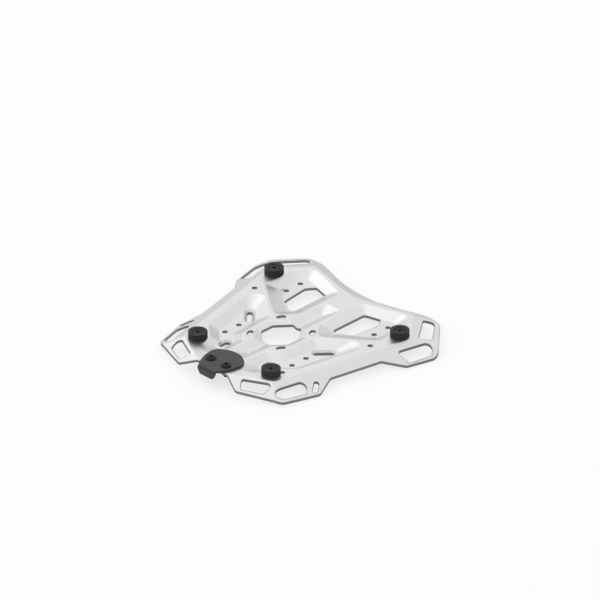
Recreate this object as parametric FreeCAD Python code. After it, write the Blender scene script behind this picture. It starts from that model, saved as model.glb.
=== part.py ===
import FreeCAD, Part
import math
import os
from FreeCAD import Vector

# Luggage rack for a motorcycle: one pressed sheet with four case pucks, a latch hook and their
# fasteners. +Y is the front of the rack, +X its right-hand side, +Z up. The rack is modelled with
# its deck's top face at height 0, and is put on its resting plane at the end.
# Corners of outlines are (x, y, corner radius), for the right-hand half where the shape is mirrored.

# Sheet
sheet_thickness = 3.5
skirt_drop = 26.0
bend_radius = 6.0
foot_radius = 5.0

# How far each skirt falls for each millimetre outwards
front_fall = 0.40
diagonal_fall = 0.24
side_fall = 0.50
rear_side_fall = 0.53
rear_fall = 2.0

# Share of a skirt's reach that is added to the radius of a rounded corner at its foot
hip_growth = 0.25

# Pressed hollows
pocket_depth = 7.0
channel_depth = 5.0
dimple_depth = 2.0
dimple_border = 3.0
dimple_land = 1.2

# Fastener holes in the sheet
hole_diameter = 6.5
front_hole_x = 78.5
front_hole_y = 64.5
rear_hole_x = 60.0
rear_hole_y = -64.0
hole_pitch = 25.0
side_hole_x = 103.5
side_hole_y = 20.0
wing_hole_x = 72.5
wing_hole_y = -106.5
axis_hole_y = -132.5

# Oblong holes: long slots for straps and short ones for adapters
strap_slot_length = 25.0
strap_slot_width = 7.0
wing_slot_length = 17.5
wing_slot_width = 6.5
pan_slot_length = 14.0
pan_slot_width = 7.0
deck_slot_length = 12.0
deck_slot_width = 7.0

# Case pucks and the holes under them
puck_front_x = 112.5
puck_front_y = 64.0
puck_rear_x = 65.5
puck_rear_y = -119.5
puck_diameter = 25.0
puck_height = 8.0
puck_groove_width = 1.6
puck_groove_depth = 1.0
puck_edge = 0.8
puck_bore = 7.0

# Cup washers, dished for the screw head; the dish hangs in a recess of the puck
washer_thickness = 1.5
dish_diameter = 14.4
dish_wall = 1.2
seat_clearance = 0.05

# Metric 6 screws
thread_diameter = 6.0
thread_clearance = 0.05
tip_chamfer = 0.7
puck_screw_length = 25.0
countersunk_head = 12.0
countersunk_edge = 0.4
countersunk_key = 4.0
countersunk_key_depth = 2.2

# Press nuts
press_nut_shank = 8.5
press_nut_clearance = 0.05
press_nut_flange = 11.0
press_nut_height = 4.0
press_nut_edge = 0.4

# Latch hook
hook_thickness = 3.0
hook_bolt_x = 13.5
hook_bolt_y = -148.0
hook_bend_radius = 2.0
hook_reach = 22.8
hook_lip = 12.5
hook_lip_top = 15.2
hook_lip_foot = 11.4
hook_lip_corner = 4.0
hook_waist = (25.3, 0.0, 30.0)
hook_shoulder = (28.3, 20.0, 13.0)
hook_nose = (9.5, 32.4, 25.0)

# Hook fasteners
hook_screw_length = 16.0
button_flange = 14.2
button_flange_height = 1.0
button_dome = 11.0
button_top = 5.0
button_height = 3.3
button_key = 4.0
button_key_depth = 2.0
nut_flange = 13.6
nut_flange_height = 1.2
nut_flats = 10.0
nut_height = 6.0
nut_bevel = 0.6
button_swell = 0.12
button_lip = 0.4

# Crease between deck and skirts
crease = [
    (0.0, 91.0, 97.0),
    (88.5, 114.5, 9.0),
    (126.5, 67.5, 12.5),
    (83.0, -128.5, 12.5),
    (15.5, -164.5, 0.0),
]

# Outer edge of the sheet, seen from above
front_edge_y = 111.5
rear_edge_y = -159.5
outline = [
    (38.5, front_edge_y, 107.5),
    (87.5, 129.5, 69.5),
    (118.0, 131.0, 11.5),
    (164.0, 81.5, 17.5),
    (152.5, 36.5, 7.5),
    (131.0, 12.5, 6.5),
    (115.0, -62.5, 10.0),
    (125.0, -90.5, 10.0),
    (109.5, -143.5, 12.5),
    (50.5, -168.5, 7.5),
    (27.5, rear_edge_y, 2.5),
]

# Front pocket: rim on the deck, run of the wall inside each side, floor corners, and the window
front_pocket_rim = [
    (18.0, 87.5, 10.0),
    (82.5, 108.0, 14.0),
    (101.5, 86.5, 10.0),
    (101.5, 36.5, 10.0),
    (38.5, -10.0, 10.0),
    (18.0, 14.5, 6.5),
]
front_pocket_walls = [13.5, 14.5, 14.0, 18.5, 17.3, 16.0]
front_pocket_floor_radii = [7.5, 6.5, 7.5, 5.5, 4.5, 5.0]
front_window = [
    (34.5, 24.0, 4.0),
    (34.5, 78.5, 5.0),
    (57.5, 84.5, 4.0),
    (66.0, 72.5, 4.5),
    (61.5, 31.5, 4.0),
    (40.5, 18.5, 3.0),
]

# Rear pan: rim, runs of its walls and floor corners
rear_pan_rim = [
    (17.5, -125.5, 5.0),
    (19.0, -85.0, 10.0),
    (35.0, -70.5, 10.0),
    (39.0, -17.0, 6.5),
    (107.5, 37.0, 14.5),
    (80.5, -85.5, 6.5),
    (55.5, -107.5, 5.0),
    (55.5, -130.0, 17.5),
    (34.5, -137.5, 5.0),
]
rear_pan_walls = [13.3, 12.3, 14.0, 15.3, 14.5, 13.0, 10.5, 22.0, 21.5]
rear_pan_floor_radii = [2.0, 4.0, 6.5, 4.0, 5.5, 5.0, 4.0, 2.0, 2.0]

# Channel along the middle: right-hand halves, runs of its walls and end ramps, and the window
channel_rim = [
    (14.5, 57.0, 7.5),
    (14.5, -3.5, 7.5),
    (32.0, -23.5, 6.5),
    (31.5, -50.5, 6.5),
    (14.5, -70.5, 7.5),
    (14.5, -116.5, 6.5),
]
channel_floor_radii = [1.0, 3.0, 4.0, 4.0, 3.0, 1.0]
channel_wall = 12.5
channel_front_ramp = 18.0
channel_rear_ramp = 19.0
channel_window = [
    (7.5, -7.5, 2.5),
    (24.0, -26.5, 4.0),
    (24.0, -47.0, 4.0),
    (7.5, -63.5, 2.5),
]

# Strap windows in the wings
wing_windows = [
    [(131.0, 39.5, 4.0), (143.5, 92.5, 7.0), (158.0, 75.5, 4.0), (151.5, 42.5, 4.0)],
    [(130.5, 79.0, 3.0), (102.0, 116.5, 2.0), (112.5, 127.0, 6.5), (140.5, 94.0, 5.0)],
    [(88.5, -149.0, 6.5), (101.5, -90.0, 7.0), (115.5, -107.0, 3.5), (107.0, -137.5, 5.0)],
    [(45.5, -152.0, 2.5), (54.0, -163.5, 4.0), (82.5, -150.0, 4.5), (85.0, -131.5, 5.5)],
]

# Oblong holes: centre and the angle of the long side from +X
strap_slot = (66.5, -26.0, 47.0)
wing_slot = (115.0, -89.0, 125.0)
pan_slot = (39.0, -97.0, 90.0)
deck_slots = [(27.5, -64.0, 62.0), (28.0, -8.0, 118.0)]

# Heights that several pieces share
puck_top = puck_height
washer_top = puck_top + washer_thickness
underside = -sheet_thickness
through = 2 * skirt_drop
up = Vector(0, 0, 1)


def mirrored(corners):
    """Adds the left-hand half of an outline whose right-hand half is given."""
    left = [(-x, y, r) for x, y, r in reversed(corners) if abs(x) > 0.001]
    return corners + left


def turned_wire(corners, height):
    """A closed wire of straight sides and tangent corner arcs at one height."""
    count = len(corners)
    starts = []
    ends = []
    middles = []
    for i, (x, y, radius) in enumerate(corners):
        here = Vector(x, y, height)
        before = Vector(corners[i - 1][0], corners[i - 1][1], height) - here
        after = Vector(corners[(i + 1) % count][0], corners[(i + 1) % count][1], height) - here
        before.normalize()
        after.normalize()
        half = before.getAngle(after) / 2
        reach = radius / math.tan(half)
        starts.append(here + before * reach)
        ends.append(here + after * reach)
        bisector = before + after
        bisector.normalize()
        middles.append(here + bisector * (radius / math.sin(half) - radius))
    edges = []
    for i in range(count):
        if corners[i][2] > 0:
            edges.append(Part.Arc(starts[i], middles[i], ends[i]).toShape())
        edges.append(Part.LineSegment(ends[i], starts[(i + 1) % count]).toShape())
    return Part.Wire(edges)


def prism(corners, low, high):
    """A straight-sided solid over an outline."""
    face = Part.Face(turned_wire(corners, low))
    return face.extrude(Vector(0, 0, high - low))


def tapered(top_corners, top, foot_corners, foot):
    """A solid between two outlines: flat walls on the sides and a curved wall at each corner."""
    upper = turned_wire(top_corners, top)
    lower = turned_wire(foot_corners, foot)
    faces = [Part.Face(upper), Part.Face(lower)]
    for high, low in zip(upper.Edges, lower.Edges):
        if high.Curve.TypeId == "Part::GeomLine":
            corners = [vertex.Point for vertex in high.Vertexes + low.Vertexes]
            ring = [corners[0], corners[1], corners[3], corners[2], corners[0]]
            faces.append(Part.Face(Part.makePolygon(ring)))
        else:
            faces.append(Part.makeRuledSurface(high, low))
    shell = Part.makeShell(faces)
    shell.sewShape()
    return Part.makeSolid(shell)


def moved_sides(corners, moves):
    """The corners of an outline whose sides have moved outwards, each by its own distance."""
    lines = []
    for i, (x, y, radius) in enumerate(corners):
        after = corners[(i + 1) % len(corners)]
        along = Vector(after[0] - x, after[1] - y, 0)
        along.normalize()
        lines.append((Vector(x, y, 0) + Vector(-along.y, along.x, 0) * moves[i], along))
    result = []
    for i in range(len(corners)):
        point, along = lines[i]
        other_point, other = lines[i - 1]
        cross = other.x * along.y - other.y * along.x
        gap = point - other_point
        meeting = other_point + other * ((gap.x * along.y - gap.y * along.x) / cross)
        result.append((meeting.x, meeting.y, cross < 0))
    return result


def skirt_foot(corners, falls, drop):
    """The outline that skirts with the given falls reach after the given drop."""
    moves = [drop / fall for fall in falls]
    result = []
    for i, (x, y, convex) in enumerate(moved_sides(corners, moves)):
        radius = corners[i][2]
        move = (moves[i] + moves[i - 1]) / 2
        grown = radius + move * hip_growth if convex else radius - move
        result.append((x, y, grown if radius > 0 else 0.0))
    return result


def hollow(rim, walls, floor_radii, depth):
    """The space of a pocket between its rim on the deck and its floor."""
    places = moved_sides(rim, [-run for run in walls])
    floor = [(place[0], place[1], radius) for place, radius in zip(places, floor_radii)]
    return tapered(rim, 0.0, floor, -depth)


def other_side(shape):
    """The mirror image of a shape on the left-hand side of the rack."""
    return shape.mirror(Vector(0, 0, 0), Vector(1, 0, 0))


def oblong_wire(place, length, width, height):
    """The outline of an oblong hole with round ends."""
    x, y, angle = place
    run = (length - width) / 2
    corners = []
    for along, across in ((run, -1), (run, 1), (-run, 1), (-run, -1)):
        corners.append(Vector(along, across * width / 2, 0))
    wire = Part.Wire([
        Part.Arc(corners[0], Vector(length / 2, 0, 0), corners[1]).toShape(),
        Part.LineSegment(corners[1], corners[2]).toShape(),
        Part.Arc(corners[2], Vector(-length / 2, 0, 0), corners[3]).toShape(),
        Part.LineSegment(corners[3], corners[0]).toShape(),
    ])
    wire.rotate(Vector(0, 0, 0), up, angle)
    wire.translate(Vector(x, y, height))
    return wire


def oblong_cutter(place, length, width):
    """A vertical cutter for an oblong hole in the sheet."""
    wire = oblong_wire(place, length, width, -through / 2)
    return Part.Face(wire).extrude(Vector(0, 0, through))


def dimple(place, length, width):
    """The shallow hollow round an oblong hole in the floor of a pan."""
    rim = 2 * dimple_border
    land = 2 * dimple_land
    wires = [
        oblong_wire(place, length + rim, width + rim, -pocket_depth),
        oblong_wire(place, length + land, width + land, -pocket_depth - dimple_depth),
    ]
    return Part.makeLoft(wires, True, True)


def drill(x, y, diameter):
    """A vertical cutter for a round hole in the sheet."""
    return Part.makeCylinder(diameter / 2, through, Vector(x, y, -through / 2), up)


def turned(profile):
    """A solid turned about the vertical axis; a profile is (radius, height) points."""
    points = [Vector(radius, 0, height) for radius, height in profile]
    wire = Part.makePolygon(points + [points[0]])
    return Part.Face(wire).revolve(Vector(0, 0, 0), up, 360)


def hexagon(flats, low, high):
    """A hexagonal prism about the vertical axis."""
    corner = flats / 2 / math.cos(math.radians(30))
    points = []
    for i in range(7):
        angle = math.radians(60 * i)
        points.append(Vector(corner * math.cos(angle), corner * math.sin(angle), low))
    return Part.Face(Part.makePolygon(points)).extrude(Vector(0, 0, high - low))


def level_edges(shape, height):
    """The edges of a shape that lie flat at one height."""
    found = []
    for edge in shape.Edges:
        middle = edge.valueAt((edge.FirstParameter + edge.LastParameter) / 2)
        heights = [vertex.Point.z for vertex in edge.Vertexes] + [middle.z]
        if all(abs(z - height) < 0.001 for z in heights):
            found.append(edge)
    return found


def pressed_form():
    """Everything under the pressed top face of the sheet."""
    rim = mirrored(crease)
    falls = [front_fall, diagonal_fall, side_fall, rear_side_fall, rear_fall]
    falls += [rear_side_fall, side_fall, diagonal_fall, front_fall]
    form = tapered(rim, 0.0, skirt_foot(rim, falls, skirt_drop), -skirt_drop)
    pocket = hollow(front_pocket_rim, front_pocket_walls, front_pocket_floor_radii, pocket_depth)
    pan = hollow(rear_pan_rim, rear_pan_walls, rear_pan_floor_radii, pocket_depth)
    side_walls = [channel_wall] * (len(channel_rim) - 1)
    channel_walls = side_walls + [channel_rear_ramp] + side_walls + [channel_front_ramp]
    channel_radii = channel_floor_radii + channel_floor_radii[::-1]
    channel = hollow(mirrored(channel_rim), channel_walls, channel_radii, channel_depth)
    hollows = [pocket, other_side(pocket), pan, other_side(pan), channel]
    form = form.cut(hollows).Solids[0]
    form = form.makeFillet(bend_radius, level_edges(form, 0.0))
    form = form.makeFillet(foot_radius, level_edges(form, -pocket_depth))
    form = form.makeFillet(foot_radius, level_edges(form, -channel_depth))
    strap_dimple = dimple(strap_slot, strap_slot_length, strap_slot_width)
    pan_dimple = dimple(pan_slot, pan_slot_length, pan_slot_width)
    dimples = [strap_dimple, other_side(strap_dimple), pan_dimple, other_side(pan_dimple)]
    return form.cut(dimples).Solids[0]


def sheet_cutters():
    """Cutters for every window and hole in the sheet."""
    cutters = [prism(mirrored(channel_window), -through / 2, through / 2)]
    right = [prism(corners, -through / 2, through / 2) for corners in wing_windows]
    right.append(prism(front_window, -through / 2, through / 2))
    right.append(oblong_cutter(strap_slot, strap_slot_length, strap_slot_width))
    right.append(oblong_cutter(wing_slot, wing_slot_length, wing_slot_width))
    right.append(oblong_cutter(pan_slot, pan_slot_length, pan_slot_width))
    for place in deck_slots:
        right.append(oblong_cutter(place, deck_slot_length, deck_slot_width))
    for x, y in ((front_hole_x, front_hole_y), (rear_hole_x, rear_hole_y)):
        right.append(drill(x, y - hole_pitch / 2, hole_diameter))
        right.append(drill(x, y + hole_pitch / 2, hole_diameter))
    right.append(drill(side_hole_x, side_hole_y, hole_diameter))
    right.append(drill(wing_hole_x, wing_hole_y, hole_diameter))
    right.append(drill(hook_bolt_x, hook_bolt_y, hole_diameter))
    nut_hole = press_nut_shank + 2 * press_nut_clearance
    right.append(drill(puck_front_x, puck_front_y, nut_hole))
    right.append(drill(puck_rear_x, puck_rear_y, nut_hole))
    cutters += right
    cutters += [other_side(cutter) for cutter in right]
    cutters.append(drill(0.0, axis_hole_y, hole_diameter))
    return cutters


def rack_plate():
    """The sheet: its top face pressed, its underside the same face one thickness lower."""
    form = pressed_form()
    under = form.copy()
    under.translate(Vector(0, 0, -sheet_thickness))
    sheet = form.cut(under)
    sheet = sheet.common(prism(mirrored(outline), -through, through / 2))
    return sheet.cut(sheet_cutters()).Solids[0]


def puck():
    """A rubber-edged case puck with a groove round its side and a recess for the washer's dish."""
    radius = puck_diameter / 2
    groove = radius - puck_groove_depth
    low = (puck_height - puck_groove_width) / 2
    high = low + puck_groove_width
    dish_foot = washer_top - dish_reach() - seat_clearance
    return turned([
        (puck_bore / 2, 0.0),
        (radius - puck_edge, 0.0),
        (radius, puck_edge),
        (radius, low),
        (groove, low),
        (groove, high),
        (radius, high),
        (radius, puck_height - puck_edge),
        (radius - puck_edge, puck_height),
        (dish_outside(puck_height) + seat_clearance, puck_height),
        (dish_outside(dish_foot) + seat_clearance, dish_foot),
        (puck_bore / 2, dish_foot),
    ])


def dish_reach():
    """How far the dish of a washer reaches below the washer's top face."""
    return dish_diameter / 2 - hole_diameter / 2


def dish_outside(height):
    """The outer radius of a washer's dish at one height."""
    inside = dish_diameter / 2 - (washer_top - height)
    return inside + dish_wall * math.sqrt(2)


def cup_washer():
    """A flat ring with a dished middle that takes a countersunk head."""
    foot = washer_top - dish_reach()
    return turned([
        (dish_diameter / 2, washer_top),
        (hole_diameter / 2, foot),
        (dish_outside(foot), foot),
        (dish_outside(puck_top), puck_top),
        (puck_diameter / 2, puck_top),
        (puck_diameter / 2, washer_top),
    ])


def puck_screw():
    """A countersunk screw whose head sits in the washer's dish."""
    head = countersunk_head / 2
    shank = thread_diameter / 2
    edge = washer_top - (dish_diameter / 2 - head) + seat_clearance
    top = edge + countersunk_edge
    tip = top - puck_screw_length
    solid = turned([
        (0.0, top),
        (head, top),
        (head, edge),
        (shank, edge - (head - shank)),
        (shank, tip + tip_chamfer),
        (shank - tip_chamfer, tip),
        (0.0, tip),
    ])
    return solid.cut(hexagon(countersunk_key, top - countersunk_key_depth, top + 1)).Solids[0]


def press_nut():
    """A threaded insert pressed into the sheet from below, flush with the deck."""
    bore = thread_diameter / 2 + thread_clearance
    flange = press_nut_flange / 2
    foot = underside - press_nut_height
    return turned([
        (bore, 0.0),
        (press_nut_shank / 2, 0.0),
        (press_nut_shank / 2, underside),
        (flange, underside),
        (flange, foot + press_nut_edge),
        (flange - press_nut_edge, foot),
        (bore, foot),
    ])


def hook_plate():
    """A bent steel latch: a flat tongue on the deck and a lip behind the sheet's rear edge."""
    top = hook_thickness
    rear = hook_bolt_y - hook_reach
    outer = hook_bend_radius + hook_thickness
    plan = [
        (hook_nose[0], hook_bolt_y + hook_nose[1], hook_nose[2]),
        (hook_shoulder[0], hook_bolt_y + hook_shoulder[1], hook_shoulder[2]),
        (hook_waist[0], hook_bolt_y + hook_waist[1], hook_waist[2]),
        (hook_lip_top, rear, 0.0),
    ]
    flat = prism(mirrored(plan), 0.0, top)
    block = Part.makeBox(4 * hook_lip_top, outer, outer, Vector(-2 * hook_lip_top, rear, top - outer))
    flat = flat.cut(block)
    centre = Vector(0, rear + outer, top - outer)
    along = Vector(1, 0, 0)
    start = centre - along * hook_lip_top
    bend = Part.makeCylinder(outer, 2 * hook_lip_top, start, along)
    bend = bend.cut(Part.makeCylinder(hook_bend_radius, 2 * hook_lip_top, start, along)).common(block)
    bend = bend.common(prism(mirrored(plan), top - outer, top))
    foot = top - hook_lip
    lip_corners = [
        (-hook_lip_top, top - outer, 0.0),
        (hook_lip_top, top - outer, 0.0),
        (hook_lip_foot, foot, hook_lip_corner),
        (-hook_lip_foot, foot, hook_lip_corner),
    ]
    lip = Part.Face(turned_wire(lip_corners, 0.0)).extrude(Vector(0, 0, hook_thickness))
    lip.rotate(Vector(0, 0, 0), Vector(1, 0, 0), 90)
    lip.translate(Vector(0, rear + hook_thickness, 0))
    hook = flat.fuse([bend, lip]).removeSplitter()
    holes = [drill(hook_bolt_x, hook_bolt_y, hole_diameter)]
    holes.append(drill(-hook_bolt_x, hook_bolt_y, hole_diameter))
    return hook.cut(holes).Solids[0]


def hook_screw():
    """A button-head screw with a flange under its dome."""
    base = hook_thickness
    ledge = base + button_flange_height
    top = base + button_height
    tip = base - hook_screw_length
    shank = thread_diameter / 2
    rim = Vector(button_dome / 2, 0, ledge)
    crown = Vector(button_top / 2, 0, top)
    chord = crown - rim
    swell = Vector(-chord.z, 0, chord.x) * -button_swell
    edges = [Part.Arc(rim, (rim + crown) / 2 + swell, crown).toShape()]
    path = [
        crown,
        Vector(0, 0, top),
        Vector(0, 0, tip),
        Vector(shank - tip_chamfer, 0, tip),
        Vector(shank, 0, tip + tip_chamfer),
        Vector(shank, 0, base),
        Vector(button_flange / 2, 0, base),
        Vector(button_flange / 2, 0, ledge - button_lip),
        Vector(button_flange / 2 - button_lip, 0, ledge),
        rim,
    ]
    for start, end in zip(path, path[1:]):
        edges.append(Part.LineSegment(start, end).toShape())
    solid = Part.Face(Part.Wire(edges)).revolve(Vector(0, 0, 0), up, 360)
    return solid.cut(hexagon(button_key, top - button_key_depth, top + 1)).Solids[0]


def hook_nut():
    """A hexagon nut whose flange bears on the underside of the sheet."""
    bore = thread_diameter / 2 + thread_clearance
    foot = underside - nut_height
    corner = nut_flats / 2 / math.cos(math.radians(30))
    ledge = underside - nut_flange_height
    envelope = turned([
        (bore, underside),
        (nut_flange / 2, underside),
        (nut_flange / 2, ledge),
        (corner, ledge - (nut_flange / 2 - corner) / 2),
        (corner, foot + nut_bevel),
        (corner - 2 * nut_bevel, foot),
        (bore, foot),
    ])
    collar = turned([
        (bore, underside),
        (nut_flange / 2, underside),
        (nut_flange / 2, ledge),
        (nut_flats / 2, ledge - (nut_flange - nut_flats) / 4),
        (bore, ledge - (nut_flange - nut_flats) / 4),
    ])
    body = envelope.common(hexagon(nut_flats, foot, underside))
    return body.fuse(collar).removeSplitter().Solids[0]


def at(shape, x, y):
    """A copy of a turned piece, set on its hole."""
    placed = shape.copy()
    placed.translate(Vector(x, y, 0))
    return placed


def pieces():
    """Every piece by name, before the rack is put on its resting plane."""
    result = {"rack_plate": rack_plate(), "hook_plate": hook_plate()}
    stack = {"puck": puck(), "disc": cup_washer(), "puck_screw": puck_screw(),
             "press_nut": press_nut()}
    places = {
        "front_left": (-puck_front_x, puck_front_y),
        "front_right": (puck_front_x, puck_front_y),
        "rear_left": (-puck_rear_x, puck_rear_y),
        "rear_right": (puck_rear_x, puck_rear_y),
    }
    for name, shape in stack.items():
        for place, (x, y) in places.items():
            result[name + "_" + place] = at(shape, x, y)
    for side, x in (("left", -hook_bolt_x), ("right", hook_bolt_x)):
        result["hook_screw_" + side] = at(hook_screw(), x, hook_bolt_y)
        result["hook_nut_" + side] = at(hook_nut(), x, hook_bolt_y)
    return result


def main():
    os.makedirs("parts", exist_ok=True)
    solids = pieces()
    box = Part.makeCompound(list(solids.values())).optimalBoundingBox(False)
    shift = Vector(0, -(box.YMin + box.YMax) / 2, -box.ZMin)
    print("size", round(box.XLength, 2), round(box.YLength, 2), round(box.ZLength, 2))
    print("shift", round(shift.y, 3), round(shift.z, 3))
    for name, shape in solids.items():
        shape.translate(shift)
        shape.exportStep("parts/" + name + ".step")
        print(name, shape.ShapeType, shape.isValid(), round(shape.Volume, 1))


main()
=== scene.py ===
import bpy
import bmesh
import math
import numpy as np
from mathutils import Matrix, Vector


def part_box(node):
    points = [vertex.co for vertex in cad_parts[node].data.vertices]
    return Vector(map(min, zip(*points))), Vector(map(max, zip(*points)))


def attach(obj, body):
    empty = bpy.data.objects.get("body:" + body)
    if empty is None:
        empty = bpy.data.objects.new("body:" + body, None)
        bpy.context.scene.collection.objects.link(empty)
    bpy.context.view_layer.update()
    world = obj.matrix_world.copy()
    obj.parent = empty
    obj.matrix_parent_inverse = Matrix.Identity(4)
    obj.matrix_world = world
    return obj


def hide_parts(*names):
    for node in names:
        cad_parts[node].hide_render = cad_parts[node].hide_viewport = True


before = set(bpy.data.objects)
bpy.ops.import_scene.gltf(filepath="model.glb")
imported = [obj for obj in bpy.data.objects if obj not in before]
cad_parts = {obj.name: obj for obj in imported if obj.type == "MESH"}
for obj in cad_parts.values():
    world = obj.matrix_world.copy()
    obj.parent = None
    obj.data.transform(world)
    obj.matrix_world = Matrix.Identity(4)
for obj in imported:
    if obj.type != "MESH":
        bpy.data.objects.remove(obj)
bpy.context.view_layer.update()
print("frame loaded,", len(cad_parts), "nodes")

# Lengths of the view and the studio are in metres
photoView = {
    "azimuth": 45.0,  # degrees round the rack, from straight behind it
    "elevation": 30.0,  # degrees above the deck
    "pixels": 600,  # side of the photograph
    "pixelsPerMetre": 790.0,
    "aimX": -0.04135,  # point of the deck that lies at the centre of the photograph
    "aimY": 0.05925,
    "distance": 1.6,
}

studio = {
    "floorSize": 12.0,
    "floorColour": "#FDFDFD",
    "floorRoughness": 0.9,
    "floorGlow": 0.66,  # share of plain white in what is seen of the floor
    "skyColour": "#FFFFFF",
    "skyZenith": 1.00,  # strength of the sky overhead
    "skyHorizon": 0.40,  # and just above the horizon
    "skyRise": 0.6,  # height on a unit sphere where the sky is as bright as overhead
    "skyLean": (-0.22, -0.05),  # how much brighter the sky grows along X and Y
    "backdrop": 0.98,  # strength below the horizon, where only a view past the floor looks
    "keyPower": 2.0,
    "keySize": 1.2,
    "keyPlace": (-1.3, 0.1, 1.5),
}

# Sockets of a Mix node: its two values, its two colours, and the colour that comes out
valueA, valueB = 2, 3
colourA, colourB = 6, 7
colourOut = 2


def linearColour(text):
    # sRGB hex to linear, channel by channel
    channels = [int(text[i:i + 2], 16) / 255 for i in (1, 3, 5)]
    linear = [c / 12.92 if c <= 0.04045 else ((c + 0.055) / 1.055) ** 2.4 for c in channels]
    return (*linear, 1.0)


def addNode(tree, kind, inputs=None, **settings):
    node = tree.nodes.new(kind)
    for name, value in settings.items():
        setattr(node, name, value)
    for socket, value in (inputs or {}).items():
        if isinstance(value, bpy.types.NodeSocket):
            tree.links.new(value, node.inputs[socket])
        else:
            node.inputs[socket].default_value = value
    return node


def newMaterial(name):
    material = bpy.data.materials.new(name)
    material.use_nodes = True
    tree = material.node_tree
    tree.nodes.clear()
    shader = addNode(tree, "ShaderNodeBsdfPrincipled")
    output = addNode(tree, "ShaderNodeOutputMaterial", {"Surface": shader.outputs["BSDF"]})
    return material, tree, shader, output


# Camera: the drawing is an orthographic view, so the camera is too
def makeCamera(view, height):
    data = bpy.data.cameras.new("photoCamera")
    data.type = "ORTHO"
    data.ortho_scale = view["pixels"] / view["pixelsPerMetre"]
    camera = bpy.data.objects.new("photoCamera", data)
    bpy.context.scene.collection.objects.link(camera)
    around = math.radians(view["azimuth"])
    above = math.radians(view["elevation"])
    level = math.cos(above)
    back = Vector((math.sin(around) * level, -math.cos(around) * level, math.sin(above)))
    aim = Vector((view["aimX"], view["aimY"], height))
    camera.location = aim + back * view["distance"]
    camera.rotation_mode = "QUATERNION"
    camera.rotation_quaternion = (-back).to_track_quat("-Z", "Y")
    bpy.context.scene.camera = camera


# Floor: white paper, seen and mirrored a little whiter than it is lit, which softens the shadow
def makeFloor(look):
    half = look["floorSize"] / 2
    mesh = bpy.data.meshes.new("floor")
    corners = [(-half, -half, 0), (half, -half, 0), (half, half, 0), (-half, half, 0)]
    mesh.from_pydata(corners, [], [(0, 1, 2, 3)])
    floor = bpy.data.objects.new("floor", mesh)
    bpy.context.scene.collection.objects.link(floor)
    material, tree, shader, output = newMaterial("paperFloor")
    shader.inputs["Base Color"].default_value = linearColour(look["floorColour"])
    shader.inputs["Roughness"].default_value = look["floorRoughness"]
    white = addNode(tree, "ShaderNodeEmission", {"Strength": 1.0})
    seen = addNode(tree, "ShaderNodeLightPath").outputs
    direct = addNode(tree, "ShaderNodeMath", {
        0: seen["Is Camera Ray"], 1: seen["Is Glossy Ray"],
    }, operation="MAXIMUM")
    every = addNode(tree, "ShaderNodeMath", {
        0: direct.outputs[0], 1: seen["Is Transmission Ray"],
    }, operation="MAXIMUM")
    share = addNode(tree, "ShaderNodeMath", {
        0: every.outputs[0], 1: look["floorGlow"],
    }, operation="MULTIPLY")
    mix = addNode(tree, "ShaderNodeMixShader", {
        0: share.outputs[0], 1: shader.outputs[0], 2: white.outputs[0],
    })
    tree.links.new(mix.outputs[0], output.inputs["Surface"])
    mesh.materials.append(material)


# Sky: dim at the horizon, bright overhead and brighter to one side, so that every pressed slope reads.
# strength = smooth rise with height * (1 + lean along X * x + lean along Y * y)
def makeSky(look):
    world = bpy.data.worlds.new("studioSky")
    bpy.context.scene.world = world
    world.use_nodes = True
    tree = world.node_tree
    tree.nodes.clear()
    place = addNode(tree, "ShaderNodeTexCoord").outputs["Generated"]
    toward = addNode(tree, "ShaderNodeSeparateXYZ", {0: place}).outputs
    glow = addNode(tree, "ShaderNodeMapRange", {
        "Value": toward["Z"], "From Max": look["skyRise"],
        "To Min": look["skyHorizon"], "To Max": look["skyZenith"],
    }, interpolation_type="SMOOTHSTEP")
    alongX = addNode(tree, "ShaderNodeMath", {
        0: toward["X"], 1: look["skyLean"][0], 2: 1.0,
    }, operation="MULTIPLY_ADD")
    lean = addNode(tree, "ShaderNodeMath", {
        0: toward["Y"], 1: look["skyLean"][1], 2: alongX.outputs[0],
    }, operation="MULTIPLY_ADD")
    light = addNode(tree, "ShaderNodeMath", {
        0: glow.outputs[0], 1: lean.outputs[0],
    }, operation="MULTIPLY")
    below = addNode(tree, "ShaderNodeMath", {0: toward["Z"], 1: 0.0}, operation="LESS_THAN")
    strength = addNode(tree, "ShaderNodeMix", {
        0: below.outputs[0], valueA: light.outputs[0], valueB: look["backdrop"],
    })
    sky = addNode(tree, "ShaderNodeBackground", {
        "Color": linearColour(look["skyColour"]), "Strength": strength.outputs[0],
    })
    addNode(tree, "ShaderNodeOutputWorld", {"Surface": sky.outputs[0]})


def makeKeyLamp(look):
    data = bpy.data.lights.new("keyLamp", "AREA")
    data.shape = "SQUARE"
    data.size = look["keySize"]
    data.energy = look["keyPower"]
    lamp = bpy.data.objects.new("keyLamp", data)
    bpy.context.scene.collection.objects.link(lamp)
    lamp.location = look["keyPlace"]
    lamp.rotation_mode = "QUATERNION"
    lamp.rotation_quaternion = (-Vector(look["keyPlace"])).to_track_quat("-Z", "Y")


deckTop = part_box("press_nut_front_left")[1].z  # the press nuts are flush with the deck
makeCamera(photoView, deckTop)
makeFloor(studio)
makeSky(studio)
makeKeyLamp(studio)
bpy.context.scene.view_settings.view_transform = "Standard"
print("camera, floor and light ready")

# From here on lengths are in millimetres, and a pattern's scale is its repeats in a metre
metre = 1000.0

octaves = {"cloud": 3.0, "grain": 2.0, "streak": 1.0, "stain": 2.0, "turning": 1.0}

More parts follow.
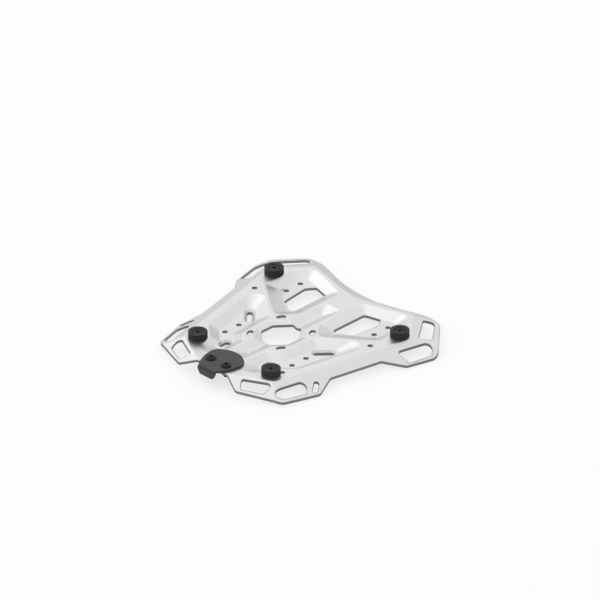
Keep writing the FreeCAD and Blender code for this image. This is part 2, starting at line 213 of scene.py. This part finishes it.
sheetFinish = {
    "colour": "#E4E5E6",
    "shade": "#DBDCDE",
    "cloud": 60.0,  # size of the faint clouds in the anodising
    "grain": 1.2,  # bead blasting leaves 0.2 mm dimples; drawn coarser so that they show
    "grainDepth": 0.045,
    "grainSpread": 0.5,  # how far the colour strays over the dimples, between shade and colour
    "roughness": 0.40,
    "roughnessSpread": 0.05,
    "edge": 0.5,  # radius that deburring leaves beside the cut edges
    "edgeSamples": 4,
    "brushReach": 2.0,  # the deburring brush also dulls a band beside them, about half as wide as this; the band is also darkened as painted shade along the edges
    "brushSamples": 8,
    "brushedAndShaded": (0.90, 0.985),  # cosine of the turn of a normal rounded over that reach, from dull and painted dark to clean
    # darker colour of the cut edges and the band beside them: partly bare cut metal, partly painted
    # shade
    "cutEdgeAndShadeColour": "#868686",
    "cutRoughness": 0.52,
    "streak": 0.9,  # a laser leaves lines 0.3 mm apart across a cut; drawn coarser so that they show
    "streakLength": 14.0,  # times as long as wide
    "streakDepth": 0.06,
    "steep": (0.15, 0.35),  # upright part of the normal, from a cut edge to a pressed slope
}
powderFinish = {
    "colour": "#2F2F30",
    "spread": 0.14,  # how far the colour strays over the dimples
    "cloud": 22.0,
    "cloudSpread": 0.07,
    "grain": 1.7,  # orange peel of powder coat
    "grainDepth": 0.10,
    "roughness": 0.41,
    "roughnessSpread": 0.05,
    "metallic": 0.0,
}
rubberFinish = {
    "colour": "#252526",
    "spread": 0.14,
    "cloud": 9.0,  # bloom that comes to the surface of moulded rubber
    "cloudSpread": 0.10,
    "grain": 1.4,  # spark-eroded mould texture is about 0.3 mm; drawn coarser so that it shows
    "grainDepth": 0.08,
    "roughness": 0.66,
    "roughnessSpread": 0.08,
    "metallic": 0.0,
}
blackZincFinish = {
    "colour": "#343437",
    "spread": 0.06,
    "cloud": 7.0,  # stains that the dip leaves
    "cloudSpread": 0.14,
    "grain": 0.7,  # crystals of the plating are far under 0.1 mm; drawn coarser so that they show
    "grainDepth": 0.010,
    "roughness": 0.34,
    "roughnessSpread": 0.07,
    "metallic": 1.0,
}
blackSteelFinish = {
    "colour": "#38383A",
    "shade": "#323130",
    "stain": 4.0,  # size of the patches in the oxide
    "turning": 0.7,  # turning marks are about 0.2 mm apart; drawn coarser so that they show
    "turningDepth": 0.012,
    "turningWaver": 0.6,  # how far the marks stray from true rings
    "waverScale": 2.0,
    "roughness": 0.36,
    "roughnessSpread": 0.08,
}
zincFinish = {
    "colour": "#C6C8CB",
    "shade": "#BBBBB8",
    "stain": 4.0,
    "turning": 0.7,
    "turningDepth": 0.010,
    "turningWaver": 0.6,
    "waverScale": 2.0,
    "roughness": 0.30,
    "roughnessSpread": 0.08,
}


# Roughness that follows a pattern, from a little glossier to a little duller
def unevenRoughness(tree, pattern, look):
    return addNode(tree, "ShaderNodeMapRange", {
        "Value": pattern,
        "To Min": look["roughness"] - look["roughnessSpread"],
        "To Max": look["roughness"] + look["roughnessSpread"],
    }).outputs[0]


def dressShader(tree, shader, colour, rough, bump, metallic):
    tree.links.new(colour, shader.inputs["Base Color"])
    tree.links.new(rough, shader.inputs["Roughness"])
    tree.links.new(bump.outputs[0], shader.inputs["Normal"])
    shader.inputs["Metallic"].default_value = metallic


# Anodised aluminium, bead blasted, then cut out by laser: a soft metallic sheen with faint clouds
# and an even grain, duller cut edges with fine upright lines, and a dull band that the deburring
# brush leaves beside them. Both take a darker colour, partly their bare finish and partly painted
# shade, and together they draw the outline and the windows
def anodisedSheet(look):
    material, tree, shader, output = newMaterial("anodisedSheet")
    place = addNode(tree, "ShaderNodeTexCoord").outputs["Object"]
    cloud = addNode(tree, "ShaderNodeTexNoise", {
        "Vector": place, "Scale": metre / look["cloud"], "Detail": octaves["cloud"],
    })
    grain = addNode(tree, "ShaderNodeTexNoise", {
        "Vector": place, "Scale": metre / look["grain"], "Detail": octaves["grain"],
    })
    tall = addNode(tree, "ShaderNodeMapping", {
        "Vector": place, "Scale": (1, 1, 1 / look["streakLength"]),
    })
    streak = addNode(tree, "ShaderNodeTexNoise", {
        "Vector": tall.outputs[0], "Scale": metre / look["streak"], "Detail": octaves["streak"],
    })
    facing = addNode(tree, "ShaderNodeNewGeometry").outputs["True Normal"]
    upward = addNode(tree, "ShaderNodeSeparateXYZ", {0: facing}).outputs["Z"]
    level = addNode(tree, "ShaderNodeMath", {0: upward}, operation="ABSOLUTE")
    cut = addNode(tree, "ShaderNodeMapRange", {
        "Value": level.outputs[0], "From Min": look["steep"][0], "From Max": look["steep"][1],
        "To Min": 1.0, "To Max": 0.0,
    }).outputs[0]
    # Band beside the edges, where the rounded normal turns from the true one: brush wear, also darkened
    # there as painted shade
    near = addNode(tree, "ShaderNodeBevel", {"Radius": look["brushReach"] / metre},
                   samples=look["brushSamples"])
    turn = addNode(tree, "ShaderNodeVectorMath", {
        0: near.outputs[0], 1: facing,
    }, operation="DOT_PRODUCT")
    brushedAndShaded = addNode(tree, "ShaderNodeMapRange", {
        "Value": turn.outputs["Value"],
        "From Min": look["brushedAndShaded"][0], "From Max": look["brushedAndShaded"][1],
        "To Min": 1.0, "To Max": 0.0,
    })
    # Where the darker colour goes: the upright cut edges and the band beside them, partly bare metal
    # and partly painted shade
    bareAndShaded = addNode(tree, "ShaderNodeMath", {
        0: cut, 1: brushedAndShaded.outputs[0],
    }, operation="MAXIMUM").outputs[0]
    speckle = addNode(tree, "ShaderNodeMapRange", {
        "Value": grain.outputs["Fac"], "To Min": -look["grainSpread"], "To Max": look["grainSpread"],
    })
    patch = addNode(tree, "ShaderNodeMath", {
        0: cloud.outputs["Fac"], 1: speckle.outputs[0],
    }, operation="ADD")
    skin = addNode(tree, "ShaderNodeMix", {
        0: patch.outputs[0],
        colourA: linearColour(look["shade"]),
        colourB: linearColour(look["colour"]),
    }, data_type="RGBA")
    # The cut edges and the band take the darker colour: partly their bare finish, partly painted shade
    colour = addNode(tree, "ShaderNodeMix", {
        0: bareAndShaded, colourA: skin.outputs[colourOut], colourB: linearColour(look["cutEdgeAndShadeColour"]),
    }, data_type="RGBA")
    sheen = unevenRoughness(tree, cloud.outputs["Fac"], look)
    rough = addNode(tree, "ShaderNodeMix", {0: bareAndShaded, valueA: sheen, valueB: look["cutRoughness"]})
    dimples = addNode(tree, "ShaderNodeMath", {
        0: grain.outputs["Fac"], 1: look["grainDepth"],
    }, operation="MULTIPLY")
    lines = addNode(tree, "ShaderNodeMath", {
        0: streak.outputs["Fac"], 1: look["streakDepth"],
    }, operation="MULTIPLY")
    relief = addNode(tree, "ShaderNodeMix", {
        0: cut, valueA: dimples.outputs[0], valueB: lines.outputs[0],
    })
    broken = addNode(tree, "ShaderNodeBevel", {"Radius": look["edge"] / metre},
                     samples=look["edgeSamples"])
    bump = addNode(tree, "ShaderNodeBump", {
        "Height": relief.outputs[0], "Distance": 1 / metre, "Normal": broken.outputs[0],
    })
    dressShader(tree, shader, colour.outputs[colourOut], rough.outputs[0], bump, metallic=1.0)
    return material


# Powder-coated steel, moulded rubber and black zinc plating: one dark colour with a dimpled skin
# and faint clouds, matt on the rubber, satin on the coat and with a metal's sheen on the plating
def dimpledSkin(name, look):
    material, tree, shader, output = newMaterial(name)
    place = addNode(tree, "ShaderNodeTexCoord").outputs["Object"]
    grain = addNode(tree, "ShaderNodeTexNoise", {
        "Vector": place, "Scale": metre / look["grain"], "Detail": octaves["grain"],
    })
    cloud = addNode(tree, "ShaderNodeTexNoise", {
        "Vector": place, "Scale": metre / look["cloud"], "Detail": octaves["cloud"],
    })
    fine = addNode(tree, "ShaderNodeMapRange", {
        "Value": grain.outputs["Fac"], "To Min": 1 - look["spread"], "To Max": 1 + look["spread"],
    })
    wide = addNode(tree, "ShaderNodeMapRange", {
        "Value": cloud.outputs["Fac"],
        "To Min": 1 - look["cloudSpread"],
        "To Max": 1 + look["cloudSpread"],
    })
    shade = addNode(tree, "ShaderNodeMath", {
        0: fine.outputs[0], 1: wide.outputs[0],
    }, operation="MULTIPLY")
    colour = addNode(tree, "ShaderNodeVectorMath", {
        0: linearColour(look["colour"])[:3], "Scale": shade.outputs[0],
    }, operation="SCALE")
    rough = unevenRoughness(tree, cloud.outputs["Fac"], look)
    bump = addNode(tree, "ShaderNodeBump", {
        "Height": grain.outputs["Fac"], "Distance": look["grainDepth"] / metre,
    })
    dressShader(tree, shader, colour.outputs[0], rough, bump, look["metallic"])
    return material


# Turned steel, black oxide or bright zinc: rings left by the tool run round the piece's own axis,
# under patches where the plating took a little differently
def turnedSteel(name, look, centre):
    material, tree, shader, output = newMaterial(name)
    place = addNode(tree, "ShaderNodeTexCoord").outputs["Object"]
    own = addNode(tree, "ShaderNodeMapping", {
        "Vector": place, "Location": (-centre[0], -centre[1], 0.0),
    })
    ringsPerUnit = 20 / (2 * math.pi)  # of a wave texture at a scale of 1
    marks = addNode(tree, "ShaderNodeTexWave", {
        "Vector": own.outputs[0],
        "Scale": metre / ringsPerUnit / look["turning"],
        "Distortion": look["turningWaver"],
        "Detail": octaves["turning"],
        "Detail Scale": look["waverScale"],
    }, wave_type="RINGS", rings_direction="Z")
    stain = addNode(tree, "ShaderNodeTexNoise", {
        "Vector": place, "Scale": metre / look["stain"], "Detail": octaves["stain"],
    })
    colour = addNode(tree, "ShaderNodeMix", {
        0: stain.outputs["Fac"],
        colourA: linearColour(look["shade"]),
        colourB: linearColour(look["colour"]),
    }, data_type="RGBA")
    rough = unevenRoughness(tree, stain.outputs["Fac"], look)
    bump = addNode(tree, "ShaderNodeBump", {
        "Height": marks.outputs["Fac"], "Distance": look["turningDepth"] / metre,
    })
    dressShader(tree, shader, colour.outputs[colourOut], rough, bump, metallic=1.0)
    return material


sheetMaterial = anodisedSheet(sheetFinish)
powderMaterial = dimpledSkin("blackPowderCoat", powderFinish)
rubberMaterial = dimpledSkin("mouldedRubber", rubberFinish)
washerMaterial = dimpledSkin("blackZincPlating", blackZincFinish)
print("finishes ready")

# Sizes that several pieces share. Here and below, heights are from the deck, and the sizes across
# a turned piece are radii
sheetThickness = 3.5
latchThickness = 3.0
puckRadius = 12.5
puckHeight = 8.0
washerTop = 9.5


# Every face smooth, with a crease where two faces meet at the look's sharp angle or more
def shadeFaces(work, look):
    for face in work.faces:
        face.smooth = True
    for edge in work.edges:
        edge.smooth = edge.calc_face_angle(math.pi) < math.radians(look["sharp"])


# A finished piece, which stands for its CAD node
def addPiece(name, mesh, material, node):
    mesh.materials.append(material)
    piece = bpy.data.objects.new(name, mesh)
    bpy.context.scene.collection.objects.link(piece)
    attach(piece, "root")
    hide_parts(node)
    return piece


# Flat and bent pieces
sheetLook = {
    "weld": 0.001,  # distance under which loose corners of the CAD mesh are one
    "broken": 0.0,  # the sheet's cut edges are rounded by its material
    "flatWithin": 0.5,  # degrees between facets of one face
    "sharp": 32,  # degrees from which an edge is a crease
}
latchLook = {
    "weld": 0.001,
    "broken": 0.35,  # radius of the tumbled edges
    "brokenSteps": 2,
    "brokenFrom": 40,  # degrees from which an edge is tumbled
    "flatWithin": 0.5,
    "sharp": 32,
}


# A merged copy of the CAD piece, its facets joined into faces and its edges rounded where they
# are tumbled
def mergedCopy(node, name, material, look):
    work = bmesh.new()
    work.from_mesh(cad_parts[node].data)
    bmesh.ops.remove_doubles(work, verts=work.verts, dist=look["weld"] / metre)
    bmesh.ops.dissolve_limit(work, angle_limit=math.radians(look["flatWithin"]),
                             verts=work.verts, edges=work.edges)
    shadeFaces(work, look)
    mesh = bpy.data.meshes.new(name)
    work.to_mesh(mesh)
    work.free()
    piece = addPiece(name, mesh, material, node)
    if look["broken"]:
        bevel = piece.modifiers.new("tumbledEdges", "BEVEL")
        bevel.width = look["broken"] / metre
        bevel.segments = look["brokenSteps"]
        bevel.limit_method = "ANGLE"
        bevel.angle_limit = math.radians(look["brokenFrom"])
        bevel.harden_normals = True
    piece.modifiers.new("flatFaces", "WEIGHTED_NORMAL").keep_sharp = True


mergedCopy("rack_plate", "pressedSheet", sheetMaterial, sheetLook)
mergedCopy("hook_plate", "latchPlate", powderMaterial, latchLook)
print("sheet and latch ready")

noLimit = 99.0  # wider than any piece
hexCorner = 1 / math.cos(math.radians(30))  # a hexagon's corner, over half its width across flats
poleRadius = 0.05  # where a closed piece's last ring meets its axis


# Rounded profile: each corner is (radius, height, rounding). A corner is replaced by points
# corner + (1 - t)^2 * reach * before + t^2 * reach * after, with reach = rounding / tan(half the angle)
def roundedProfile(corners, steps=5):
    points = np.array([corner[:2] for corner in corners], float)
    rounding = [corner[2] for corner in corners]
    result = []
    for i, here in enumerate(points):
        if rounding[i] == 0 or i in (0, len(points) - 1):
            result.append(here[None, :])
            continue
        before = points[i - 1] - here
        after = points[i + 1] - here
        before /= np.linalg.norm(before)
        after /= np.linalg.norm(after)
        half = np.arccos(np.clip(before @ after, -1, 1)) / 2
        reach = rounding[i] / np.tan(half)
        t = np.linspace(0, 1, steps)[:, None]
        result.append(here + (1 - t) ** 2 * reach * before + t ** 2 * reach * after)
    return np.concatenate(result)


# Rings of a turned piece, a row each: radius and height, share of hexagon, share of thread, and the
# largest radius that a bevelled hexagon reaches there
def rings(points, hexed=0.0, threaded=0.0, limit=noLimit):
    points = np.asarray(points, float)
    rest = [np.broadcast_to(value, len(points)) for value in (hexed, threaded, limit)]
    return np.column_stack([points, *rest])


# Metric 6 thread and a 4 mm hexagon socket, which all the screws have
metricSix = {
    "shank": 3.0,
    "pitch": 1.0,
    "threadDepth": 0.61,
    "ringsPerPitch": 8,
    "plainShank": 1.0,  # neck without thread under the head
    "tip": 0.7,
    "halfKey": 2.0,
    "keyDrill": 1.8,  # radius of the hole that is drilled before the hexagon is pressed
    "keyBevel": 0.25,
    "keyPoint": 0.5,
}


# Thread between two heights. Its depth grows from nothing at both ends over one pitch, with the
# square root of the way
def threadRings(high, low, look):
    count = int(round((high - low) / look["pitch"] * look["ringsPerPitch"])) + 1
    height = np.linspace(high, low, count)
    fromEnd = np.minimum(high - height, height - low) / look["pitch"]
    radius = np.full(count, look["shank"])
    return rings(np.column_stack([radius, height]), threaded=np.clip(fromEnd, 0, 1) ** 0.5)


# Socket of a screw: the drill's point, the hexagon's floor and walls, and its bevelled mouth
def socketRings(look, top):
    floor = top - look["keyDepth"]
    return [
        rings([(poleRadius, floor - look["keyPoint"]), (look["keyDrill"], floor)]),
        rings([(look["halfKey"], floor), (look["halfKey"], top - look["keyBevel"])], hexed=1.0),
        rings([(look["halfKey"] * hexCorner, top)]),
    ]


# Shank of a screw: a plain neck, the thread, and a bevelled tip
def shankRings(look, neck, foot):
    start = neck - look["plainShank"]
    tipRadius = look["shank"] - look["tip"]
    return [
        threadRings(start, foot + look["tip"], look),
        rings([(tipRadius, foot), (poleRadius, foot)]),
    ]


# Distance of a turned piece's surface from its axis, for each ring and each angle.
# section = 1 / cos(angle from the nearest flat) on a hexagon, 1 on a circle
# reach = lesser of radius * section and the limit, less thread depth * wave
# wave = distance from the thread's crest, 0 to 1; the crest climbs one pitch a turn, right-handed.
# A piece without a thread names neither pitch nor depth
def turnedReach(profile, angle, look):
    radius, height, hexed, threaded, limit = np.hsplit(profile, profile.shape[1])
    fromFlat = np.mod(angle + np.pi / 6, np.pi / 3) - np.pi / 6
    section = 1 + hexed * (1 / np.cos(fromFlat) - 1)
    phase = np.mod(height / look.get("pitch", 1.0) - angle / (2 * np.pi), 1.0)
    wave = np.abs(2 * phase - 1)
    return np.minimum(radius * section, limit) - threaded * look.get("threadDepth", 0.0) * wave


# Faces of a turned piece: bands of quads from ring to ring. The last band of a bored piece leads
# back to its first ring, and any other piece has a lid at both ends
def turnedFaces(ringCount, look):
    sides = look["sides"]
    bands = ringCount if look.get("bored") else ringCount - 1
    ring, side = np.meshgrid(np.arange(bands), np.arange(sides), indexing="ij")
    nextRing = (ring + 1) % ringCount
    nextSide = (side + 1) % sides
    quads = np.stack([
        ring * sides + side,
        nextRing * sides + side,
        nextRing * sides + nextSide,
        ring * sides + nextSide,
    ], axis=-1)
    faces = quads.reshape(-1, 4).tolist()
    if not look.get("bored"):
        lid = np.arange(sides)
        faces += [lid[::-1].tolist(), (lid + (ringCount - 1) * sides).tolist()]
    return faces


# Turned piece at each place: x and y are its axis + reach * cos and sin of the angle
def turnedPiece(name, stem, places, material, profile, look):
    angle = np.linspace(0, 2 * np.pi, look["sides"], endpoint=False)[None, :]
    reach = turnedReach(profile, angle, look)
    height = np.broadcast_to(profile[:, [1]], reach.shape)
    faces = turnedFaces(len(profile), look)
    for order, place in enumerate(places, start=1):
        low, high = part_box(f"{stem}_{place}")
        centre = (low + high) / 2
        around = angle + math.radians(look.get("turn", 0.0)) * order  # each stops at its own angle
        points = np.stack([
            reach * np.cos(around) / metre + centre.x,
            reach * np.sin(around) / metre + centre.y,
            height / metre + deckTop,
        ], axis=-1).reshape(-1, 3)
        mesh = bpy.data.meshes.new(name)
        mesh.from_pydata(points.tolist(), [], faces)
        work = bmesh.new()
        work.from_mesh(mesh)
        bmesh.ops.recalc_face_normals(work, faces=work.faces)
        shadeFaces(work, look)
        work.to_mesh(mesh)
        work.free()
        addPiece(f"{name}_{place}", mesh, material(centre), f"{stem}_{place}")


# Case pucks: two rubber lips with a groove between them, and a cone that clears the washer's dish
puckLook = {
    "sides": 144,
    "sharp": 35,
    "bored": True,
    "edge": 0.8,
    "grooveDepth": 1.0,
    "grooveWidth": 1.6,
    "grooveRounding": 0.3,
    "bore": 3.5,
    "dishRounding": 0.1,
}


def puckProfile(look):
    low = (puckHeight - look["grooveWidth"]) / 2
    high = low + look["grooveWidth"]
    groove = puckRadius - look["grooveDepth"]
    soft = look["grooveRounding"]
    clear = washerLook["clearance"]
    dishTop = dishOutside(puckHeight, washerLook) + clear
    dishFloor = dishFoot(washerLook) - clear
    return rings(roundedProfile([
        (look["bore"], 0.0, 0),
        (puckRadius, 0.0, look["edge"]),
        (puckRadius, low, soft),
        (groove, low, soft),
        (groove, high, soft),
        (puckRadius, high, soft),
        (puckRadius, puckHeight, look["edge"]),
        (dishTop, puckHeight, look["dishRounding"]),
        (dishTop - (puckHeight - dishFloor), dishFloor, look["dishRounding"]),
        (look["bore"], dishFloor, 0),
    ]))


# Cup washers: a flat ring with its middle pressed down at 45 degrees for the screw's head
washerLook = {
    "sides": 144,
    "sharp": 35,
    "bored": True,
    "thickness": 1.5,
    "dish": 7.2,
    "hole": 3.25,
    "wall": 1.2,
    "clearance": 0.05,
    "edge": 0.35,
    "lip": 0.5,
    "footRounding": 0.25,
    "neckRounding": 0.1,
}


# Height where the dish ends, at the hole: it falls as far as it narrows
def dishFoot(look):
    return washerTop - (look["dish"] - look["hole"])


# Outside of the dish at a height: its inside there, and the wall, cut level through 45 degrees
def dishOutside(height, look):
    return look["dish"] - (washerTop - height) + look["wall"] * math.sqrt(2)


def washerProfile(look):
    foot = dishFoot(look)
    below = washerTop - look["thickness"]
    return rings(roundedProfile([
        (look["hole"], foot, 0),
        (dishOutside(foot, look), foot, look["footRounding"]),
        (dishOutside(below, look), below, look["neckRounding"]),
        (puckRadius, below, look["edge"]),
        (puckRadius, washerTop, look["edge"]),
        (look["dish"], washerTop, look["lip"]),
        (look["hole"], foot, 0),
    ])[:-1])  # the last corner only gives the dish its slope


# Countersunk screws, metric 6 by 25
puckScrewLook = {
    **metricSix,
    "sides": 96,
    "sharp": 28,
    "length": 25.0,
    "head": 6.0,
    "sunk": 0.75,  # from the washer's face down to the head's
    "edge": 0.4,
    "edgeRounding": 0.15,
    "neckRounding": 0.4,
    "keyDepth": 2.2,
    "turn": 34.0,
}


def puckScrewProfile(look):
    top = washerTop - look["sunk"]
    edge = top - look["edge"]
    neck = edge - (look["head"] - look["shank"])
    head = roundedProfile([
        (look["halfKey"] * hexCorner, top, 0),
        (look["head"], top, look["edgeRounding"]),
        (look["head"], edge, look["edgeRounding"]),
        (look["shank"], neck, look["neckRounding"]),
        (look["shank"], neck - look["plainShank"], 0),
    ])[1:-1]  # the socket and the shank have the first and last corners
    shank = shankRings(look, neck, top - look["length"])
    return np.concatenate(socketRings(look, top) + [rings(head)] + shank)


# Press nuts: flush with the deck, their flange under the sheet
pressNutLook = {
    "sides": 96,
    "sharp": 35,
    "bored": True,
    "bore": 3.05,
    "shank": 4.25,
    "flange": 5.5,
    "height": 4.0,
    "edge": 0.4,
    "shankRounding": 0.1,
    "flangeRounding": 0.2,
    "mouth": 0.3,
    "mouthRounding": 0.15,
}


def pressNutProfile(look):
    below = -sheetThickness
    foot = below - look["height"]
    return rings(roundedProfile([
        (look["bore"], 0.0, 0),
        (look["shank"], 0.0, look["shankRounding"]),
        (look["shank"], below, 0),
        (look["flange"], below, look["flangeRounding"]),
        (look["flange"], foot, look["edge"]),
        (look["bore"] + look["mouth"], foot, look["mouthRounding"]),
        (look["bore"], foot + look["mouth"], 0),
    ]))


# Button screws of the latch, metric 6 by 16: a flange under a low dome
buttonLook = {
    **metricSix,
    "sides": 96,
    "sharp": 28,
    "length": 16.0,
    "flange": 7.1,
    "flangeHeight": 1.0,
    "lip": 0.4,
    "underRounding": 0.2,
    "neckRounding": 0.1,
    "dome": 5.5,
    "crown": 2.5,
    "height": 3.3,
    "swell": 0.12,
    "domeRings": 12,
    "keyDepth": 2.0,
    "turn": 20.0,
}


# Dome: crown + s * chord + 4 s (1 - s) * swell, with the swell square to the chord
def buttonProfile(look):
    base = latchThickness
    ledge = base + look["flangeHeight"]
    top = base + look["height"]
    crown = np.array([look["crown"], top])
    chord = np.array([look["dome"], ledge]) - crown
    swell = np.array([-chord[1], chord[0]]) * look["swell"]
    s = np.linspace(0, 1, look["domeRings"])[:, None]
    dome = crown + s * chord + 4 * s * (1 - s) * swell
    under = roundedProfile([
        (look["dome"], ledge, 0),
        (look["flange"], ledge, look["lip"]),
        (look["flange"], base, look["underRounding"]),
        (look["shank"], base, look["neckRounding"]),
        (look["shank"], base - look["plainShank"], 0),
    ])[1:-1]  # the dome and the shank have the first and last corners
    shank = shankRings(look, base, base - look["length"])
    return np.concatenate(socketRings(look, top) + [rings(dome), rings(under)] + shank)


# Flange nuts under the latch: a hexagon, its corners turned to a cone at the foot
flangeNutLook = {
    "sides": 96,
    "sharp": 28,
    "bored": True,
    "bore": 3.05,
    "height": 6.0,
    "flange": 6.8,
    "flangeHeight": 1.2,
    "flangeSlope": 0.5,  # rise of the flange's sloping face for each millimetre outwards
    "flangeRounding": 0.15,
    "ledgeRounding": 0.3,
    "halfFlats": 5.0,
    "bevel": 0.6,
    "bevelSlope": 2.0,  # how far the corners draw in for each millimetre of height
    "bevelRings": 5,
    "mouth": 0.35,
    "turn": 23.0,
}


# Bevel: the hexagon's limit falls in equal steps, by the bevel's slope times its height in all
def flangeNutProfile(look):
    top = -sheetThickness
    foot = top - look["height"]
    ledge = top - look["flangeHeight"]
    wallTop = ledge - (look["flange"] - look["halfFlats"]) * look["flangeSlope"]
    corner = look["halfFlats"] * hexCorner
    skirt = rings(roundedProfile([
        (look["bore"], top, 0),
        (look["flange"], top, look["flangeRounding"]),
        (look["flange"], ledge, look["ledgeRounding"]),
        (look["halfFlats"], wallTop, 0),
    ])[:-1])  # the hexagon starts with the last corner
    s = np.linspace(0, 1, look["bevelRings"] + 1)
    height = np.concatenate([[wallTop], foot + look["bevel"] * (1 - s)])
    limit = np.concatenate([[corner], corner - look["bevelSlope"] * look["bevel"] * s])
    radius = np.full(len(height), look["halfFlats"])
    hexagon = rings(np.column_stack([radius, height]), hexed=1.0, limit=limit)
    mouth = rings([(look["bore"] + look["mouth"], foot), (look["bore"], foot + look["mouth"])])
    return np.concatenate([skirt, hexagon, mouth])


# Finish of each small piece, given its axis, which only the turned ones need
def rubber(centre):
    return rubberMaterial


def blackZinc(centre):
    return washerMaterial


def blackSteel(centre):
    return turnedSteel("blackOxideSteel", blackSteelFinish, centre)


def brightZinc(centre):
    return turnedSteel("brightZincSteel", zincFinish, centre)


puckPlaces = ["front_left", "front_right", "rear_left", "rear_right"]
latchPlaces = ["left", "right"]
turnedPiece("casePuck", "puck", puckPlaces, rubber,
            puckProfile(puckLook), puckLook)
turnedPiece("cupWasher", "disc", puckPlaces, blackZinc,
            washerProfile(washerLook), washerLook)
turnedPiece("puckScrew", "puck_screw", puckPlaces, blackSteel,
            puckScrewProfile(puckScrewLook), puckScrewLook)
turnedPiece("pressNut", "press_nut", puckPlaces, brightZinc,
            pressNutProfile(pressNutLook), pressNutLook)
turnedPiece("latchScrew", "hook_screw", latchPlaces, blackSteel,
            buttonProfile(buttonLook), buttonLook)
turnedPiece("latchNut", "hook_nut", latchPlaces, blackSteel,
            flangeNutProfile(flangeNutLook), flangeNutLook)
print("pucks and fasteners ready")
